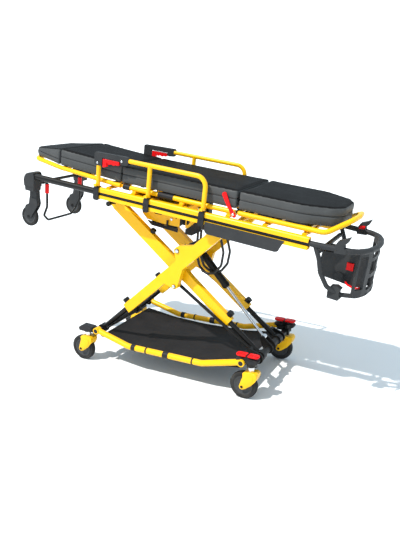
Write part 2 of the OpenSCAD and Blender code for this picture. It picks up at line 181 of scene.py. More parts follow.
def fillet(P, R, k=8):
    P = [Vector(p) for p in P]
    out = [P[0]]
    for i in range(1, len(P) - 1):
        a, b, c = P[i - 1], P[i], P[i + 1]
        u, v = (a - b).normalized(), (c - b).normalized()
        g = math.acos(max(-1, min(1, u.dot(v))))
        if g > math.radians(178):
            out.append(b)
            continue
        d = min(R / math.tan(g / 2), 0.48 * (a - b).length, 0.48 * (c - b).length)
        RR = d * math.tan(g / 2)
        m = (u + v).normalized()
        o = b + m * (RR / math.sin(g / 2))
        s, e, w = b + u * d - o, b + v * d - o, math.pi - g
        for j in range(k + 1):
            out.append(o + (s * math.sin((1 - j / k) * w) + e * math.sin(j / k * w)) / math.sin(w))
    out.append(P[-1])
    return out


def tube(name, path, r, n=20, M=None, caps=True, rfun=None, flat=1.0):
    """tube mesh along a path (parallel transport)"""
    P = [Vector(p) for p in path]
    T = []
    for i in range(len(P)):
        a = P[max(0, i - 1)]
        b = P[min(len(P) - 1, i + 1)]
        T.append((b - a).normalized())
    ref = Vector((0, 0, 1)) if abs(T[0].z) < 0.9 else Vector((0, 1, 0))
    N = T[0].cross(ref).normalized()
    verts, faces = [], []
    for i, p in enumerate(P):
        if i:
            q = T[i - 1].rotation_difference(T[i])
            N = (q @ N).normalized()
        B = T[i].cross(N)
        rr = r if rfun is None else rfun(i / (len(P) - 1))
        for j in range(n):
            t = 2 * math.pi * j / n
            verts.append(p + N * (rr * math.cos(t)) + B * (rr * flat * math.sin(t)))
    m = len(P)
    for i in range(m - 1):
        for j in range(n):
            faces.append((i * n + j, i * n + (j + 1) % n, (i + 1) * n + (j + 1) % n, (i + 1) * n + j))
    if caps:
        faces.append(tuple(reversed(range(n))))
        faces.append(tuple((m - 1) * n + j for j in range(n)))
    ob = new_mesh(name, verts, faces)
    if M is not None:
        ob.data.transform(M)
    return sharp(ob, 50)


def lathe(name, prof, n=72, M=None, axis="Y"):
    """prof: (radius, along) pairs; closed loop"""
    verts, faces = [], []
    m = len(prof)
    for i in range(n):
        t = 2 * math.pi * i / n
        for r, y in prof:
            verts.append((r * math.cos(t), y, r * math.sin(t)))
    for i in range(n):
        for j in range(m):
            a, b = i * m + j, i * m + (j + 1) % m
            c, d = ((i + 1) % n) * m + (j + 1) % m, ((i + 1) % n) * m + j
            faces.append((a, b, c, d))
    bm = bmesh.new()
    vs = [bm.verts.new(v) for v in verts]
    for f in faces:
        if len(set(f)) == 4:
            bm.faces.new([vs[k] for k in f])
    ob = from_bm(name, bm)
    if M is not None:
        ob.data.transform(M)
    return sharp(ob, 40)


def bevel_copy(node, width=1.5, seg=2, angle=32, name=None, mat=None, dissolve=True):
    """a copy of a CAD node with its hard edges eased; stands for the node"""
    src = NODES[node]
    me = src.data.copy()
    ob = bpy.data.objects.new((name or node) + ".body", me)
    scene.collection.objects.link(ob)
    bm = bmesh.new()
    bm.from_mesh(me)
    bmesh.ops.remove_doubles(bm, verts=bm.verts, dist=2e-5)
    if dissolve:
        bmesh.ops.dissolve_limit(bm, angle_limit=math.radians(1.0), verts=bm.verts, edges=bm.edges, delimit=set())
    bm.to_mesh(me)
    bm.free()
    md = ob.modifiers.new("b", "BEVEL")
    md.width = width * MM
    md.segments = seg
    md.limit_method = "ANGLE"
    md.angle_limit = math.radians(angle)
    md.miter_outer = "MITER_ARC"
    md.use_clamp_overlap = True
    md.harden_normals = False
    apply_mods(ob)
    sharp(ob, 50)
    wn = ob.modifiers.new("w", "WEIGHTED_NORMAL")
    wn.keep_sharp = True
    apply_mods(ob)
    ob.data.materials.clear()
    if mat is not None:
        ob.data.materials.append(mat)
    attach(ob, src["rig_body"])
    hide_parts(node)
    return ob


# ---------------------------------------------------------------- materials
class Mat:
    def __init__(self, name):
        self.m = bpy.data.materials.new(name)
        self.m.use_nodes = True
        self.nt = self.m.node_tree
        self.b = self.nt.nodes["Principled BSDF"]
        self.tc = self.nt.nodes.new("ShaderNodeTexCoord")
        self.v = self.tc.outputs["Object"]

    def n(self, t, **k):
        x = self.nt.nodes.new(t)
        for a, v in k.items():
            if a in x.inputs:
                x.inputs[a].default_value = v
            else:
                setattr(x, a, v)
        return x

    def link(self, a, b):
        self.nt.links.new(a, b)

    def noise(self, scale, detail=4, rough=0.55, vec=None):
        x = self.n("ShaderNodeTexNoise")
        x.inputs["Scale"].default_value = scale
        x.inputs["Detail"].default_value = detail
        x.inputs["Roughness"].default_value = rough
        self.link(vec or self.v, x.inputs["Vector"])
        return x.outputs["Fac"]

    def voronoi(self, scale, feature="F1"):
        x = self.n("ShaderNodeTexVoronoi")
        x.feature = feature
        x.inputs["Scale"].default_value = scale
        self.link(self.v, x.inputs["Vector"])
        return x.outputs["Distance"]

    def ramp(self, fac, stops):
        x = self.n("ShaderNodeValToRGB")
        e = x.color_ramp.elements
        while len(e) < len(stops):
            e.new(0.5)
        for k, (p, c) in enumerate(stops):
            e[k].position = p
            e[k].color = (*c, 1) if isinstance(c, (tuple, list)) else (c, c, c, 1)
        self.link(fac, x.inputs["Fac"])
        return x.outputs["Color"]

    def mapr(self, fac, a, b, c, d):
        x = self.n("ShaderNodeMapRange")
        x.inputs["From Min"].default_value = a
        x.inputs["From Max"].default_value = b
        x.inputs["To Min"].default_value = c
        x.inputs["To Max"].default_value = d
        self.link(fac, x.inputs["Value"])
        return x.outputs["Result"]

    def math(self, op, a, b=None, c=None):
        x = self.n("ShaderNodeMath")
        x.operation = op
        for k, q in enumerate((a, b, c)):
            if q is None:
                continue
            if isinstance(q, (int, float)):
                x.inputs[k].default_value = q
            else:
                self.link(q, x.inputs[k])
        return x.outputs[0]

    def mix(self, fac, a, b):
        x = self.n("ShaderNodeMix")
        x.data_type = "RGBA"
        if isinstance(fac, (int, float)):
            x.inputs[0].default_value = fac
        else:
            self.link(fac, x.inputs[0])
        for q, s in ((a, x.inputs[6]), (b, x.inputs[7])):
            if isinstance(q, (tuple, list)):
                s.default_value = (*q, 1)
            else:
                self.link(q, s)
        return x.outputs[2]

    def sep(self, vec=None):
        x = self.n("ShaderNodeSeparateXYZ")
        self.link(vec or self.v, x.inputs[0])
        return x.outputs

    def bump(self, height, strength, dist=0.001, prev=None):
        x = self.n("ShaderNodeBump")
        x.inputs["Strength"].default_value = strength
        x.inputs["Distance"].default_value = dist
        self.link(height, x.inputs["Height"])
        if prev is not None:
            self.link(prev, x.inputs["Normal"])
        return x.outputs["Normal"]

    def out(self, color=None, rough=None, normal=None, metallic=None, **k):
        if color is not None:
            if isinstance(color, (tuple, list)):
                self.b.inputs["Base Color"].default_value = (*color, 1)
            else:
                self.link(color, self.b.inputs["Base Color"])
        if rough is not None:
            if isinstance(rough, (int, float)):
                self.b.inputs["Roughness"].default_value = rough
            else:
                self.link(rough, self.b.inputs["Roughness"])
        if normal is not None:
            self.link(normal, self.b.inputs["Normal"])
        if metallic is not None:
            self.b.inputs["Metallic"].default_value = metallic
        for a, v in k.items():
            a = a.replace("_", " ")
            self.b.inputs[a].default_value = v
        return self.m


def paint(name, col, dark, r0=0.28, r1=0.42, peel=0.05, coat=0.35, wear=None, dust=0.05):
    """powder coat: orange peel, faint cloudy tone, fine scuffs"""
    m = Mat(name)
    cloud = m.noise(9, 5, 0.6)
    fine = m.noise(420, 2, 0.5)
    scuff = m.noise(38, 8, 0.72)
    c = m.mix(m.mapr(cloud, 0.35, 0.7, 0.0, 0.55), col, dark)
    c = m.mix(m.mapr(scuff, 0.62, 0.74, 0.0, dust), c, (0.82, 0.80, 0.74))
    rough = m.mapr(m.math("ADD", m.math("MULTIPLY", cloud, 0.5), m.math("MULTIPLY", scuff, 0.5)), 0.35, 0.65, r0, r1)
    nrm = m.bump(fine, peel, 0.0006)
    nrm = m.bump(scuff, 0.03, 0.0005, nrm)
    return m.out(c, rough, nrm, Coat_Weight=coat, Coat_Roughness=0.18, Specular_IOR_Level=0.5)


def plastic(name, col, col2, r0=0.42, r1=0.62, grain=0.18, scale=900, spec=0.4):
    """moulded plastic with spark-eroded grain"""
    m = Mat(name)
    g = m.voronoi(scale)
    n2 = m.noise(scale * 0.6, 3, 0.6)
    cloud = m.noise(14, 5, 0.6)
    sc = m.noise(60, 8, 0.75)
    c = m.mix(m.mapr(cloud, 0.3, 0.7, 0, 1), col, col2)
    c = m.mix(m.mapr(sc, 0.64, 0.78, 0, 0.22), c, tuple(min(1, x * 2.1 + 0.03) for x in col))
    rough = m.mapr(m.math("ADD", m.math("MULTIPLY", cloud, 0.6), m.math("MULTIPLY", n2, 0.4)), 0.3, 0.7, r0, r1)
    nrm = m.bump(m.math("ADD", g, m.math("MULTIPLY", n2, 0.8)), grain, 0.0005)
    return m.out(c, rough, nrm, Specular_IOR_Level=spec)


def metal(name, col, r0, r1, streak=True):
    m = Mat(name)
    st = m.noise(600, 3, 0.6)
    cloud = m.noise(20, 4, 0.6)
    rough = m.mapr(m.math("ADD", m.math("MULTIPLY", st, 0.5), m.math("MULTIPLY", cloud, 0.5)), 0.35, 0.65, r0, r1)
    c = m.mix(m.mapr(cloud, 0.3, 0.7, 0, 1), col, tuple(x * 0.86 for x in col))
    return m.out(c, rough, m.bump(st, 0.05, 0.0003), metallic=1.0)


def rubber(name, col, col2, r0=0.6, r1=0.85, scale=700, grain=0.25):
    m = Mat(name)
    n1 = m.noise(scale, 3, 0.6)
    cloud = m.noise(22, 6, 0.7)
    dust = m.noise(7, 5, 0.65)
    c = m.mix(m.mapr(cloud, 0.35, 0.65, 0, 1), col, col2)
    c = m.mix(m.mapr(dust, 0.5, 0.75, 0, 0.18), c, (0.25, 0.24, 0.22))
    rough = m.mapr(cloud, 0.3, 0.7, r0, r1)
    return m.out(c, rough, m.bump(n1, grain, 0.0006), Specular_IOR_Level=0.35)


def vinyl(name, ca, cb, cc, r0=0.42, r1=0.62, spec=0.3):
    """coated mattress fabric: fine leather-like grain, soft creases"""
    m = Mat(name)
    cell = m.voronoi(620, "F1")
    fine = m.noise(1500, 2, 0.5)
    crease = m.noise(9, 6, 0.6)
    soft = m.noise(3.6, 3, 0.5)
    wipe = m.noise(26, 7, 0.7)
    c = m.mix(m.mapr(crease, 0.3, 0.7, 0, 1), ca, cb)
    c = m.mix(m.mapr(cell, 0.2, 0.6, 0, 0.4), c, cc)
    c = m.mix(m.mapr(wipe, 0.62, 0.78, 0, 0.16), c, tuple(min(1, x * 2.2 + 0.01) for x in cb))
    rough = m.mapr(m.math("ADD", m.math("MULTIPLY", crease, 0.5), m.math("MULTIPLY", cell, 0.6)), 0.3, 0.75, r0, r1)
    n1 = m.bump(cell, 0.22, 0.0005)
    n1 = m.bump(fine, 0.10, 0.0003, n1)
    n1 = m.bump(crease, 0.30, 0.004, n1)
    n1 = m.bump(soft, 0.30, 0.010, n1)
    return m.out(c, rough, n1, Sheen_Weight=0.0, Sheen_Roughness=0.5, Specular_IOR_Level=spec)


def weave(name, col, col2, pitch=0.0022, spec=0.3):
    m = Mat(name)
    s = m.sep()
    k = 2 * math.pi / pitch
    sx = m.math("SINE", m.math("MULTIPLY", s[0], k))
    sy = m.math("SINE", m.math("MULTIPLY", s[1], k))
    chk = m.math("MULTIPLY", sx, sy)
    ax, ay = m.math("ABSOLUTE", sx), m.math("ABSOLUTE", sy)
    h = m.math("ADD", m.math("MULTIPLY", chk, 0.5), m.math("MULTIPLY", m.math("ADD", ax, ay), 0.3))
    cloud = m.noise(7, 5, 0.6)
    c = m.mix(m.mapr(h, -0.5, 0.9, 0, 1), col2, col)
    c = m.mix(m.mapr(cloud, 0.35, 0.75, 0, 0.3), c, (0.05, 0.045, 0.045))
    n1 = m.bump(h, 0.5, 0.0006)
    n1 = m.bump(cloud, 0.3, 0.006, n1)
    return m.out(c, m.mapr(cloud, 0.3, 0.7, 0.55, 0.8), n1, Sheen_Weight=0.04, Specular_IOR_Level=spec)


YEL = paint("yellow_paint", (0.90, 0.505, 0.0040), (0.82, 0.42, 0.0028), 0.26, 0.38, 0.04, 0.10, dust=0.015)
BLK = paint("black_paint", (0.0085, 0.0080, 0.0075), (0.0055, 0.0050, 0.0048), 0.30, 0.44, 0.05, 0.12, dust=0.02)
BLKP = plastic("black_plastic", (0.026, 0.026, 0.028), (0.017, 0.017, 0.019), 0.42, 0.58, 0.15, spec=0.35)
GRY = plastic("grey_plastic", (0.036, 0.037, 0.038), (0.027, 0.028, 0.030), 0.44, 0.60, 0.2, spec=0.3)
DRK = plastic("dark_plastic", (0.012, 0.012, 0.014), (0.008, 0.008, 0.010), 0.40, 0.55, 0.15, spec=0.3)
RED = plastic("red_plastic", (0.84, 0.0045, 0.0060), (0.70, 0.0030, 0.0045), 0.34, 0.48, 0.07, spec=0.2)
STL = metal("bright_steel", (0.72, 0.73, 0.75), 0.12, 0.26)
ZINC = metal("zinc_screw", (0.66, 0.67, 0.69), 0.20, 0.34)
RUB = rubber("tyre_rubber", (0.020, 0.020, 0.021), (0.032, 0.031, 0.030))
HUB = plastic("hub_plastic", (0.060, 0.062, 0.064), (0.045, 0.047, 0.05), 0.40, 0.55, 0.12, spec=0.35)
HOSE = rubber("hose_rubber", (0.016, 0.016, 0.018), (0.024, 0.024, 0.026), 0.38, 0.52, 900, 0.12)
VIN = vinyl("mattress_cover", (0.0066, 0.0061, 0.0061), (0.0098, 0.0091, 0.0091), (0.0044, 0.0041, 0.0041), spec=0.05)
# lighter copy of the cover for the pad sides: painted light, so the sides come out brighter than the top
VIN_SIDES_PAINTED_LIGHT = vinyl("mattress_side_painted_light", (0.058, 0.060, 0.060), (0.076, 0.078, 0.078), (0.046, 0.047, 0.048), spec=0.2)
NET = weave("net_cloth", (0.0085, 0.0075, 0.0078), (0.0035, 0.0030, 0.0033), spec=0.12)



def tone(mat, spec, coat=None):
    for nd in mat.node_tree.nodes:
        if nd.type == "BSDF_PRINCIPLED":
            nd.inputs["Specular IOR Level"].default_value = spec
            if coat is not None and not nd.inputs["Coat Weight"].is_linked:
                nd.inputs["Coat Weight"].default_value = coat


tone(YEL, 0.22, 0.10)
tone(BLK, 0.22, 0.06)
tone(BLKP, 0.16)
tone(DRK, 0.14)
tone(RUB, 0.12)
tone(HUB, 0.18)
tone(GRY, 0.18)

SLOT_MAT = {"yellow_paint": YEL, "black_paint": BLK, "grey_plastic": GRY, "black_rubber": RUB, "red_plastic": RED,
            "chrome_steel": STL, "mattress_cover": VIN, "net_cloth": NET, "black_plastic": BLKP, "hose_rubber": HOSE}
for sp in frame["record"]["subparts"]:
    ob = NODES[sp["node"]]
    ob.data.materials.clear()
    ob.data.materials.append(SLOT_MAT[sp["material_slot"]])
    sharp(ob, 30)

# ---------------------------------------------------------------- floor and light
fm = Mat("floor_paint")
fc = fm.noise(3, 4, 0.5)
FLOOR = fm.out(fm.mix(fm.mapr(fc, 0.3, 0.7, 0, 1), (0.885, 0.89, 0.895), (0.905, 0.91, 0.915)), 0.8, fm.bump(fm.noise(300, 2), 0.02, 0.0005), Specular_IOR_Level=0.15)
bm = bmesh.new()
bmesh.ops.create_grid(bm, x_segments=4, y_segments=4, size=40)
floor = from_bm("floor", bm)
floor.data.materials.append(FLOOR)
floor.location.z = -0.0005

w = bpy.data.worlds.new("studio")
scene.world = w
w.use_nodes = True
nt = w.node_tree
bg = nt.nodes["Background"]
bg.inputs[0].default_value = (0.63, 0.76, 0.86, 1)
bg.inputs[1].default_value = 1.04
white = nt.nodes.new("ShaderNodeBackground")
white.inputs[0].default_value = (1.0, 1.0, 1.0, 1)
white.inputs[1].default_value = 1.6
lp = nt.nodes.new("ShaderNodeLightPath")
mx = nt.nodes.new("ShaderNodeMixShader")
nt.links.new(lp.outputs["Is Camera Ray"], mx.inputs[0])
nt.links.new(bg.outputs[0], mx.inputs[1])
nt.links.new(white.outputs[0], mx.inputs[2])
nt.links.new(mx.outputs[0], nt.nodes["World Output"].inputs[0])
scene.view_settings.view_transform = "Standard"


def sun(name, direction, strength, angle, col):
    l = bpy.data.lights.new(name, "SUN")
    l.energy = strength
    l.angle = math.radians(angle)
    l.color = col
    o = bpy.data.objects.new(name, l)
    o.rotation_euler = Vector(direction).to_track_quat("-Z", "Y").to_euler()
    scene.collection.objects.link(o)
    return o


sun("key", (0.31, 0.55, -1.0), 4.4, 1.2, (1.0, 0.975, 0.93))

# ---------------------------------------------------------------- mattress sections
PIPE = vinyl("piping_cover", (0.007, 0.007, 0.009), (0.010, 0.010, 0.012), (0.005, 0.005, 0.006))


def pad_mesh(name, outline, w0, w1, inset=1.6, cham=5.0, top=None):
    """closed pad: outline polygon (u, v) offset in steps so that its edges are eased"""
    def shrink(P, d):
        n = len(P)
        out = []
        for i in range(n):
            a, b, c = Vector(P[i - 1]), Vector(P[i]), Vector(P[(i + 1) % n])
            e1, e2 = (b - a).normalized(), (c - b).normalized()
            n1, n2 = Vector((-e1.y, e1.x)), Vector((-e2.y, e2.x))
            k = (n1 + n2)
            k = k / max(0.3, k.dot(n1))
            out.append(b + k * d)
        return out
    rows = [(inset + cham, w0 + 1), (inset + cham * 0.3, w0 + cham * 0.35 + 1), (inset, w0 + cham + 1), (inset, w1 - cham - 4), (inset + cham * 0.3, w1 - cham * 0.35 - 4), (inset + cham, w1 - 4)]
    verts, faces = [], []
    n = len(outline)
    for d, w in rows:
        for p in shrink(outline, d):
            verts.append((p.x, p.y, w if top is None else w0 + (w - w0) * (top(p.x) - w0) / (w1 - w0)))
    for r in range(len(rows) - 1):
        for j in range(n):
            faces.append((r * n + j, r * n + (j + 1) % n, (r + 1) * n + (j + 1) % n, (r + 1) * n + j))
    faces.append(tuple(reversed(range(n))))
    faces.append(tuple((len(rows) - 1) * n + j for j in range(n)))
    return new_mesh(name, verts, faces)


def round_poly(P, R, k=6):
    out = []
    n = len(P)
    for i in range(n):
        a, b, c = (Vector((*P[i - 1], 0)), Vector((*P[i], 0)), Vector((*P[(i + 1) % n], 0)))
        u, v = (a - b).normalized(), (c - b).normalized()
        g = math.acos(max(-1, min(1, u.dot(v))))
        if g > math.radians(178):
            out.append((b.x, b.y))
            continue
        d = min(R[i] / math.tan(g / 2), 0.45 * (a - b).length, 0.45 * (c - b).length)
        RR = d * math.tan(g / 2)
        m = (u + v).normalized()
        o = b + m * (RR / math.sin(g / 2))
        s, e, w = b + u * d - o, b + v * d - o, math.pi - g
        for j in range(k + 1):
            q = o + (s * math.sin((1 - j / k) * w) + e * math.sin(j / k * w)) / math.sin(w)
            out.append((q.x, q.y))
    return out


def inflate(ob, M, lo, hi, cap, pressure=2.6, voxel=5.0):
    """cloth-simulated swelling; points stay within cap of where they start and inside the box lo..hi (frame M)"""
    ob.data.transform(M)
    md = ob.modifiers.new("r", "REMESH")
    md.mode = "VOXEL"
    md.voxel_size = voxel * MM
    md.use_smooth_shade = True
    apply_mods(ob)
    start = np.empty(len(ob.data.vertices) * 3)
    ob.data.vertices.foreach_get("co", start)
    start = start.reshape(-1, 3)
    cl = ob.modifiers.new("c", "CLOTH")
    s = cl.settings
    s.quality = 5
    s.mass = 0.3
    s.tension_stiffness = 18
    s.compression_stiffness = 12
    s.shear_stiffness = 8
    s.bending_stiffness = 1.6
    s.use_pressure = True
    s.uniform_pressure_force = pressure
    s.effector_weights.gravity = 0
    s.effector_weights.all = 1
    cl.collision_settings.use_collision = False
    cl.collision_settings.use_self_collision = False
    cl.point_cache.frame_start = 1
    cl.point_cache.frame_end = 21
    for f in range(1, 17):
        scene.frame_set(f)
    dg = bpy.context.evaluated_depsgraph_get()
    me = ob.evaluated_get(dg).to_mesh()
    co = np.empty(len(me.vertices) * 3)
    me.vertices.foreach_get("co", co)
    co = co.reshape(-1, 3)
    ob.evaluated_get(dg).to_mesh_clear()
    ob.modifiers.clear()
    scene.frame_set(1)
    mv = co - start
    L = np.linalg.norm(mv, axis=1, keepdims=True)
    k = np.where(L > 1e-9, cap * MM * np.tanh(L / (cap * MM)) / np.maximum(L, 1e-9), 0)
    co = start + mv * k
    # keep to the pad's own box
    Mi = np.array(M.inverted())
    loc = co @ Mi[:3, :3].T + Mi[:3, 3]
    for a in range(3):
        for bound, sgn in ((lo[a], 1), (hi[a], -1)):
            d = sgn * (loc[:, a] - bound)
            soft = 5.0
            near = d < soft
            dn = np.where(near, soft * np.exp(np.minimum(0, (d - soft) / soft)), d)
            loc[:, a] = bound + sgn * np.where(near, dn, d)
    Mf = np.array(M)
    co = loc @ Mf[:3, :3].T + Mf[:3, 3]
    ob.data.vertices.foreach_set("co", co.ravel())
    ob.data.update()
    sm = ob.modifiers.new("s", "SMOOTH")
    sm.factor = 0.4
    sm.iterations = 1
    apply_mods(ob)
    sb = ob.modifiers.new("sub", "SUBSURF")
    sb.levels = sb.render_levels = 1
    apply_mods(ob)
    ob.data.polygons.foreach_set("use_smooth", [True] * len(ob.data.polygons))
    return ob


def ring_on(ob, M, centre, w, n=220, lift=0.3, dw=0.0):
    """closed line of points on the pad's side at height w (frame M)"""
    me = ob.data
    Mi = M.inverted()
    bt = BVHTree.FromPolygons([Mi @ v.co for v in me.vertices], [tuple(p.vertices) for p in me.polygons])
    out = []
    c = Vector((centre[0], centre[1], w))
    for i in range(n):
        t = 2 * math.pi * i / n
        d = Vector((math.cos(t) * centre[2], math.sin(t) * centre[3], 0)).normalized()
        hit = bt.ray_cast(c + d * 1500, -d)
        if hit[0] is not None:
            out.append(hit[0] + hit[1] * lift)
    return out


def groove(ob, M, w, width, depth):
    """a sewn channel pressed into the pad's side all round at height w"""
    me = ob.data
    me.update()
    Mi = np.array(M.inverted())
    co = np.empty(len(me.vertices) * 3)
    me.vertices.foreach_get("co", co)
    co = co.reshape(-1, 3)
    nr = np.empty(len(me.vertices) * 3)
    me.vertices.foreach_get("normal", nr)
    nr = nr.reshape(-1, 3)
    loc = co @ Mi[:3, :3].T + Mi[:3, 3]
    nl = nr @ Mi[:3, :3].T
    nl /= np.maximum(1e-9, np.linalg.norm(nl, axis=1, keepdims=True))
    side = np.clip(1.3 - 1.6 * np.abs(nl[:, 2]), 0, 1)
    f = np.exp(-((loc[:, 2] - w) / width) ** 2) * side
    loc -= nl * (depth * f)[:, None]
    Mf = np.array(M)
    co = loc @ Mf[:3, :3].T + Mf[:3, 3]
    me.vertices.foreach_set("co", co.ravel())
    me.update()


def make_pad(name, outline, M, w0, w1, body, node, centre, seam=0.52, top=None, cap=2.6):
    us = [p[0] for p in outline]
    vs = [p[1] for p in outline]
    ob = pad_mesh(name, outline, w0, w1, top=top)
    inflate(ob, M, (min(us) + 1, min(vs) - 2, w0 - 0.5), (max(us) - 1, max(vs) + 2, w1 + 3), cap)
    ws = w0 + (w1 - w0) * seam
    groove(ob, M, ws, 4.5, 3.2)
    if top is None:
        groove(ob, M, w1 - 9, 3.0, 1.1)
    groove(ob, M, w0 + 9, 3.0, 1.1)
    ob.data.materials.append(VIN)
    ob.data.materials.append(VIN_SIDES_PAINTED_LIGHT)
    # faces that point sideways get the lighter cover copy: painted light on the pad sides, the top keeps the dark
    # cover
    zaxis = (M.to_3x3() @ Vector((0, 0, 1))).normalized()
    ob.data.polygons.foreach_set("material_index", [1 if abs(q.normal.dot(zaxis)) < 0.62 else 0 for q in ob.data.polygons])
    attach(ob, body)
    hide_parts(node)
    P = ring_on(ob, M, centre, ws)
    P.append(P[0])
    P.append(P[1])
    cordp = tube(name + ".seam_piping", P, 1.7, 8, M, caps=False)
    cordp.data.materials.append(PIPE)
    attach(cordp, body)
    return ob


hw = 210.0
seat_poly = round_poly([(-252, -hw), (438, -hw), (438, hw), (-252, hw)], [9] * 4)
make_pad("seat_pad", seat_poly, lit_m(), 88, 184, "litter", "seat_cushion", (96, 0, 1.0, 0.6))
foot_poly = round_poly([(444, -hw), (770, -hw), (908, -142), (945, -76), (945, 76), (908, 142), (770, hw), (444, hw)], [9, 160, 50, 30, 30, 50, 160, 9], 8)
make_pad("foot_pad", foot_poly, lit_m(), 88, 184, "foot_section", "foot_cushion", (680, 0, 1.0, 0.85))
back_poly = round_poly([(-430, -hw), (-5, -hw), (-5, hw), (-430, hw)], [9] * 4)
make_pad("back_pad", back_poly, back_m(), 18, 114, "backrest", "back_cushion", (-216, 0, 1.0, 1.0))
head_poly = round_poly([(-706, -52), (-696, -98), (-652, -147), (-434, -hw), (-434, hw), (-652, 147), (-696, 98), (-706, 52)], [30, 40, 60, 9, 9, 60, 40, 30], 8)


def head_top(u):
    return 112 + (u + 434) * 41 / 221 if u > -655 else 71 + (u + 655) * 13 / 53 - max(0, -680 - u) ** 2 / 60


make_pad("head_pad", head_poly, back_m(), 18, 112, "backrest", "back_cushion", (-560, 0, 0.8, 1.0), seam=0.34, top=head_top, cap=2.2)

# sewn hinge that joins the head flap to the back section
hinge = new_mesh("head_flap_hinge", *(lambda n, P: ([(x, y, z) for y in [(-199 + 398 * k / n) for k in range(n + 1)] for x, z in P],
                 [tuple(reversed(range(len(P)))), tuple(n * len(P) + j for j in range(len(P)))] +
                 [(k * len(P) + j, k * len(P) + (j + 1) % len(P), (k + 1) * len(P) + (j + 1) % len(P), (k + 1) * len(P) + j) for k in range(n) for j in range(len(P))]))
                 (40, [(-442, 46), (-422, 46), (-422, 92), (-428, 97), (-432, 98.5), (-436, 97), (-442, 92)]), smooth=True)
hinge.data.transform(back_m())
sharp(hinge, 40)
hinge.data.materials.append(PIPE)
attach(hinge, "backrest")

# ---------------------------------------------------------------- storage net
def net_z(x):
    pts = [(-404, 163), (-186, 135.5), (20, 128.5), (284, 135.5), (500, 163)]
    for (a, za), (b, zb) in zip(pts, pts[1:]):
        if x <= b:
            t = (x - a) / (b - a)
            t = t * t * (3 - 2 * t) * 0.35 + t * 0.65
            return za + (zb - za) * t
    return pts[-1][1]


def make_net():
    nx, ny = 120, 72
    verts, faces = [], []
    rng = np.random.RandomState(4)
    ph = rng.rand(6) * 6.28
    for i in range(nx + 1):
        x = -402 + 900 * i / nx
        ex = min(1.0, min(i, nx - i) / 14)
        for j in range(ny + 1):
            y = -257 + 514 * j / ny
            t = (y / 257)
            sag = -5.0 * (1 - t * t) * ex
            edge = 1 - abs(t)
            rip = 1.1 * math.sin(x / 31 + ph[0]) * math.exp(-edge * 9) + 0.8 * math.sin(x / 57 + y / 43 + ph[1]) * ex + 0.6 * math.sin(y / 23 + x / 90 + ph[2]) * ex
            verts.append((x, y, net_z(x) + sag + rip + 1.5))
    for i in range(nx):
        for j in range(ny):
            a = i * (ny + 1) + j
            faces.append((a, a + 1, a + ny + 2, a + ny + 1))
    ob = new_mesh("storage_net.cloth", verts, faces)
    ob.data.transform(base_m())
    so = ob.modifiers.new("s", "SOLIDIFY")
    so.thickness = 1.6 * MM
    so.offset = 0
    apply_mods(ob)
    ob.data.materials.append(NET)
    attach(ob, "root")
    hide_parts("storage_net")
    # hems
    for k, (x0, x1, y0, y1) in enumerate([(-402, 498, -257, -257), (-402, 498, 257, 257)]):
        P = [(x, y0, net_z(x) + 1.5) for x in np.linspace(x0, x1, 60)]
        h = tube(f"net_hem.{k}", P, 3.4, 10, base_m(), flat=0.8)
        h.data.materials.append(NET)
        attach(h, "root")
    for k, x in enumerate((-402, 498)):
        P = [(x, y, net_z(x) + 1.5) for y in np.linspace(-257, 257, 30)]
        h = tube(f"net_hem.{k+2}", P, 3.4, 10, base_m(), flat=0.8)
        h.data.materials.append(NET)
        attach(h, "root")


make_net()

# ---------------------------------------------------------------- hoses
def hose(name, pts, node):
    loc = fillet(pts, 40, 5)
    ob = tube(name, resample(loc, 8), 6.8, 18, lit_m())
    ob.data.materials.append(HOSE)
    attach(ob, "litter")
    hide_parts(node)
    return ob


hose("hose_front.tube", [(200.4, -60, -84), (262, -60, -84), (310, -60, -130), (334, -60, -200), (330, -60, -276), (294, -60, -332), (244, -60, -346), (198, -60, -312), (176, -58, -250), (168, -56, -180), (166, -54, -119.4)], "hose_front")
hose("hose_rear.tube", [(200.4, -36, -90), (270, -34, -90), (334, -32, -126), (358, -30, -196), (352, -30, -268), (318, -31, -322), (268, -34, -340), (216, -38, -314), (188, -40, -254), (180, -40, -186), (178, -40, -113.8)], "hose_rear")

# ---------------------------------------------------------------- black liners in the rail slots: dark shells inside the rail bores that stand in for the dark head tube and paint the shade inside the bores
def rail_tube_and_shade_liner(name, side, body):
    verts, faces = [], []
    n, us = 12, (-394.5, 834.5)
    for u in us:
        for r in (18.1, 18.42):
            for k in range(n + 1):
                a = math.radians(-39 + 53.5 * k / n)
                verts.append((u, side * (228.3 + r * math.cos(a)), 15 + r * math.sin(a)))
    m = n + 1
    for k in range(n):
        faces += [(k, k + 1, 2 * m + k + 1, 2 * m + k), (m + k, 3 * m + k, 3 * m + k + 1, m + k + 1),
                  (k, m + k, m + k + 1, k + 1), (2 * m + k, 2 * m + k + 1, 3 * m + k + 1, 3 * m + k)]
    faces += [(0, 2 * m, 3 * m, m), (n, m + n, 3 * m + n, 2 * m + n)]
    if side < 0:
        faces = [tuple(reversed(f)) for f in faces]
    ob = new_mesh(name, verts, faces)
    ob.data.transform(lit_m())
    ob.data.materials.append(DRK)
    sharp(ob, 30)
    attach(ob, body)
    return ob


# dark shells in both rail bores: partly the dark head tube, partly painted shade inside the bore
rail_tube_and_shade_liner("rail_tube_and_shade_liner.near", -1, "litter")
rail_tube_and_shade_liner("rail_tube_and_shade_liner.far", 1, "litter")

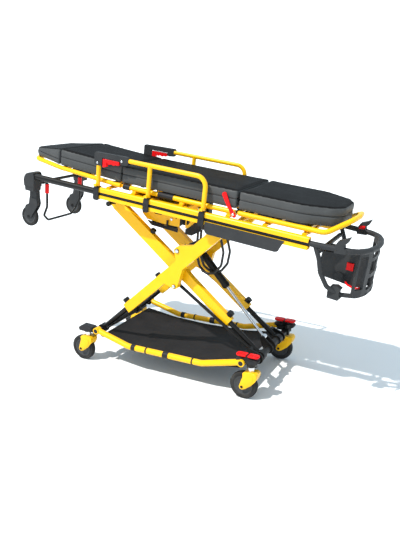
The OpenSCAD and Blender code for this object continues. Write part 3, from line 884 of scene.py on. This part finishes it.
# ---------------------------------------------------------------- eased edges on the hard-edged parts
def eased(names, width, mat, seg=2):
    for n in names:
        if n not in NODES:
            continue
        src = NODES[n]
        a = np.array([v.co for v in src.data.vertices])
        ob = bevel_copy(n, width, seg, 35, mat=mat)
        b = np.array([v.co for v in ob.data.vertices])
        if np.abs(a.min(0) - b.min(0)).max() > 0.003 or np.abs(a.max(0) - b.max(0)).max() > 0.003:
            print("eased copy has moved:", n)


eased(["outer_arm_left", "outer_arm_right", "inner_arm_left", "inner_arm_right", "inner_arms"], 2.2, YEL, 3)
eased(["handle_plate_left", "handle_plate_right"], 2.0, GRY, 3)
eased(["section_lever_left", "section_lever_right", "release_grip_left", "release_grip_right", "power_button_left", "power_button_right"], 1.5, RED, 3)
eased(["side_skirts"], 1.2, GRY)


# ---------------------------------------------------------------- turned wheels, caps and screws
def turned(name, prof, M, body, mat, n=96):
    ob = lathe(name, prof, n, M)
    ob.data.materials.append(mat)
    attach(ob, body)
    return ob


def wheel_set(node, fork_node, cap_y):
    src = NODES[node]
    a = np.array([v.co for v in src.data.vertices])
    lo, hi = a.min(0), a.max(0)
    c = (lo + hi) / 2
    R, h = (hi[2] - lo[2]) / 2 / MM, (hi[1] - lo[1]) / 2 / MM
    M = Matrix.Translation(Vector(c)) @ Matrix.Scale(MM, 4)
    body = src["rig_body"]
    ty = [(0.69 * R, -0.74 * h), (0.735 * R, -0.93 * h), (0.80 * R, -0.97 * h), (0.815 * R, -0.93 * h), (0.83 * R, -0.98 * h), (0.90 * R, -h), (0.955 * R, -0.88 * h), (0.985 * R, -0.66 * h), (R, -0.3 * h)]
    t = turned(node + ".tyre", ty + [(r, -y) for r, y in reversed(ty)], M, body, RUB)
    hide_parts(node)
    hb = [(6.7, -0.9 * h), (0.19 * R, -0.9 * h), (0.215 * R, -0.82 * h), (0.235 * R, -0.56 * h), (0.34 * R, -0.50 * h), (0.54 * R, -0.52 * h), (0.60 * R, -0.70 * h), (0.635 * R, -0.80 * h), (0.688 * R, -0.80 * h)]
    turned(node + ".hub", hb + [(r, -y) for r, y in reversed(hb)], M, body, HUB)
    fb = NODES[fork_node]["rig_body"]
    for k in (-1, 1):
        cp = [(0.05, cap_y), (7.6, cap_y), (7.6, cap_y + 1.6), (6.6, cap_y + 2.4), (4.4, cap_y + 2.4), (3.6, cap_y + 1.4), (0.05, cap_y + 1.4)]
        turned(f"{node}.axle_cap{k + 1}", [(r, k * y) for r, y in cp], M, fb, DRK, 48)


for e in ("head", "foot"):
    for d in ("left", "right"):
        wheel_set(f"caster_wheel_{e}_{d}", f"caster_fork_{e}_{d}", 33.05)
for d in ("left", "right"):
    wheel_set(f"load_wheel_{d}", "wheel_housings", 20.1)


def screw(name, body, M, u, v, w, side, r=6.4, mat=ZINC):
    pr = [(0.05, 0), (r, 0), (r, 1.1), (r * 0.93, 2.2), (r * 0.72, 3.0), (r * 0.44, 3.2), (r * 0.42, 1.5), (0.05, 1.5)]
    turned(name, [(a, side * b) for a, b in pr], M @ Matrix.Translation((u, side * v, w)), body, mat, 48)


LITTER_BODY = "litter"
for side, d in ((-1, "left"), (1, "right")):
    gb = NODES[f"handle_plate_{d}"]["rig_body"]
    screw(f"plate_screw_a.{d}", gb, lit_m(), -383, 249.05, 180, side)
    screw(f"plate_screw_b.{d}", gb, lit_m(), -226, 249.05, 212, side)
    screw(f"lever_screw.{d}", NODES[f"section_lever_{d}"]["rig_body"], lit_m(), 430, 220.05, 62, side, 8.0)
    screw(f"bracket_screw.{d}", LITTER_BODY, lit_m(), 4, 74.05, -86, side, 8.5)
    screw(f"lobe_screw_a.{d}", NODES["arm_cross_shaft"]["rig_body"], oarm_m(), 766, 203.65, 64, side, 10.5)
    screw(f"lobe_screw_b.{d}", NODES["arm_cross_shaft"]["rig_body"], oarm_m(), 613.8, 203.65, -73, side, 9.5)
    # red sleeve on the safety bar
    P = [(-821.8, side * 151, w) for w in np.linspace(-90.5, -35.5, 12)]
    sl = tube(f"bar_sleeve.{d}", P, 12.3, 32, lit_m(), rfun=None)
    sl.data.materials.append(RED)
    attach(sl, NODES["safety_bar"]["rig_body"])


def block_xz(name, poly, y0, y1, M, body, mat, bevel=2.0):
    n = len(poly)
    verts = [(x, y, z) for y in (y0, y1) for x, z in poly]
    faces = [tuple(range(n)), tuple(reversed(range(n, 2 * n)))] + [(j, n + j, n + (j + 1) % n, (j + 1) % n) for j in range(n)]
    bm = bmesh.new()
    vs = [bm.verts.new(v) for v in verts]
    for f in faces:
        bm.faces.new([vs[k] for k in f])
    ob = from_bm(name, bm)
    md = ob.modifiers.new("b", "BEVEL")
    md.width = bevel
    md.segments = 3
    md.limit_method = "ANGLE"
    md.angle_limit = math.radians(25)
    apply_mods(ob)
    ob.data.transform(M)
    sharp(ob, 50)
    ob.data.materials.append(mat)
    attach(ob, body)
    return ob


for side, d in ((-1, "near"), (1, "far")):
    y0, y1 = sorted((side * 251, side * 290))
    block_xz(f"pedal_housing.{d}", [(506, 207), (592, 207), (608, 216), (611, 226), (604, 231.5), (552, 240.5), (546, 240.5), (492, 231.5), (486, 226), (490, 216)], y0, y1, base_m(), "root", BLKP, 3.0)
    y0, y1 = sorted((side * 187.6, side * 191.8))
    block_xz(f"claw_pad.{d}", [(960, 26), (990, 30), (994, 46), (968, 44)], y0, y1, lit_m(), LITTER_BODY, RED, 1.2)

# ---------------------------------------------------------------- caster fork shells and their head caps
def fork_shell(e, d):
    node = f"caster_fork_{e}_{d}"
    wn = NODES[f"caster_wheel_{e}_{d}"]
    a = np.array([v.co for v in wn.data.vertices])
    c = (a.min(0) + a.max(0)) / 2
    M = Matrix.Translation(Vector(c)) @ Matrix.Scale(MM, 4)
    body = NODES[node]["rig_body"]
    f = np.array([v.co for v in NODES[node].data.vertices])
    top = f[f[:, 2] > f[:, 2].max() - 0.002]
    sx = (float(top[:, 0].min() + top[:, 0].max()) / 2 - c[0]) / MM
    plate = round_poly([(-17, -2), (-13, -14), (2, -18), (18, -10), (50, 14), (sx + 34, 42), (sx + 41, 62), (sx + 40, 78), (sx + 30, 84.5), (sx - 30, 84.5), (sx - 38, 77), (4, 58), (-6, 32)], [10, 10, 12, 20, 30, 20, 20, 12, 12, 12, 12, 30, 30], 5)
    first = None
    for k in (-1, 1):
        y0, y1 = sorted((k * 24.2, k * 30.4))
        ob = block_xz(f"{node}.plate{k + 1}", plate, y0, y1, M, body, YEL, 2.0)
        y0, y1 = sorted((k * 30.0, k * 32.6))
        rib = round_poly([(-11, 0), (-3, -12), (12, -8), (44, 16), (sx + 20, 42), (sx + 24, 62), (sx + 4, 68), (14, 42), (-3, 24)], [8, 8, 10, 20, 14, 12, 20, 30, 20], 4)
        block_xz(f"{node}.rib{k + 1}", rib, y0, y1, M, body, YEL, 1.6)
        first = first or ob
    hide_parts(node)
    front = [(sx + 34, 42), (sx + 41, 62), (sx + 40, 78), (sx + 30, 84.5), (sx + 26, 79.5), (sx + 35, 75), (sx + 36, 63), (sx + 30.5, 46)]
    block_xz(f"{node}.front", front, -28, 28, M, body, YEL, 1.0)
    block_xz(f"{node}.crown", [(sx - 30, 79), (sx + 30, 79), (sx + 30, 84.3), (sx - 30, 84.3)], -28, 28, M, body, YEL, 1.2)
    stem = lathe(f"{node}.stem", [(0.05, 84), (17, 84), (17, 111.4), (8, 111.6), (8, 127.8), (0.05, 127.8)], 48, M @ Matrix.Translation((sx, 0, 0)) @ Matrix.Rotation(math.radians(90), 4, "X"))
    stem.data.materials.append(STL)
    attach(stem, body)
    if e == "head":
        cap = round_poly([(sx - 42, 117), (sx + 44, 117), (sx + 50, 128), (sx + 40, 143), (sx - 34, 147), (sx - 48, 136)], [6, 8, 10, 14, 14, 10], 5)
        block_xz(f"head_cap.{d}", cap, -31, 31, M, "root", BLKP, 3.5)


for e in ("head", "foot"):
    for d in ("left", "right"):
        fork_shell(e, d)

# ---------------------------------------------------------------- brake pedals: two pads on a bar
for side, d in ((-1, "left"), (1, "right")):
    ML = base_m() @ Matrix.Rotation(math.radians(90), 4, "X")
    body = NODES[f"brake_pedal_{d}"]["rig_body"]
    zs = sorted((-side * 249, -side * 291))
    first = None
    for k, (x0, x1, ra, rb) in enumerate(((486, 544.5, 17, 5), (553.5, 612, 5, 17))):
        P = round_poly([(x0, zs[0]), (x1, zs[0]), (x1, zs[1]), (x0, zs[1])], [ra, rb, rb, ra], 6)
        ob = block_xz(f"pedal_pad{k}.{d}", P, 244.5, 254.5, ML, body, RED, 3.0)
        first = first or ob
    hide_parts(f"brake_pedal_{d}")
    block_xz(f"pedal_bar.{d}", [(536, zs[0] + 4), (562, zs[0] + 4), (562, zs[1] - 4), (536, zs[1] - 4)], 243.2, 250.5, ML, body, DRK, 1.0)
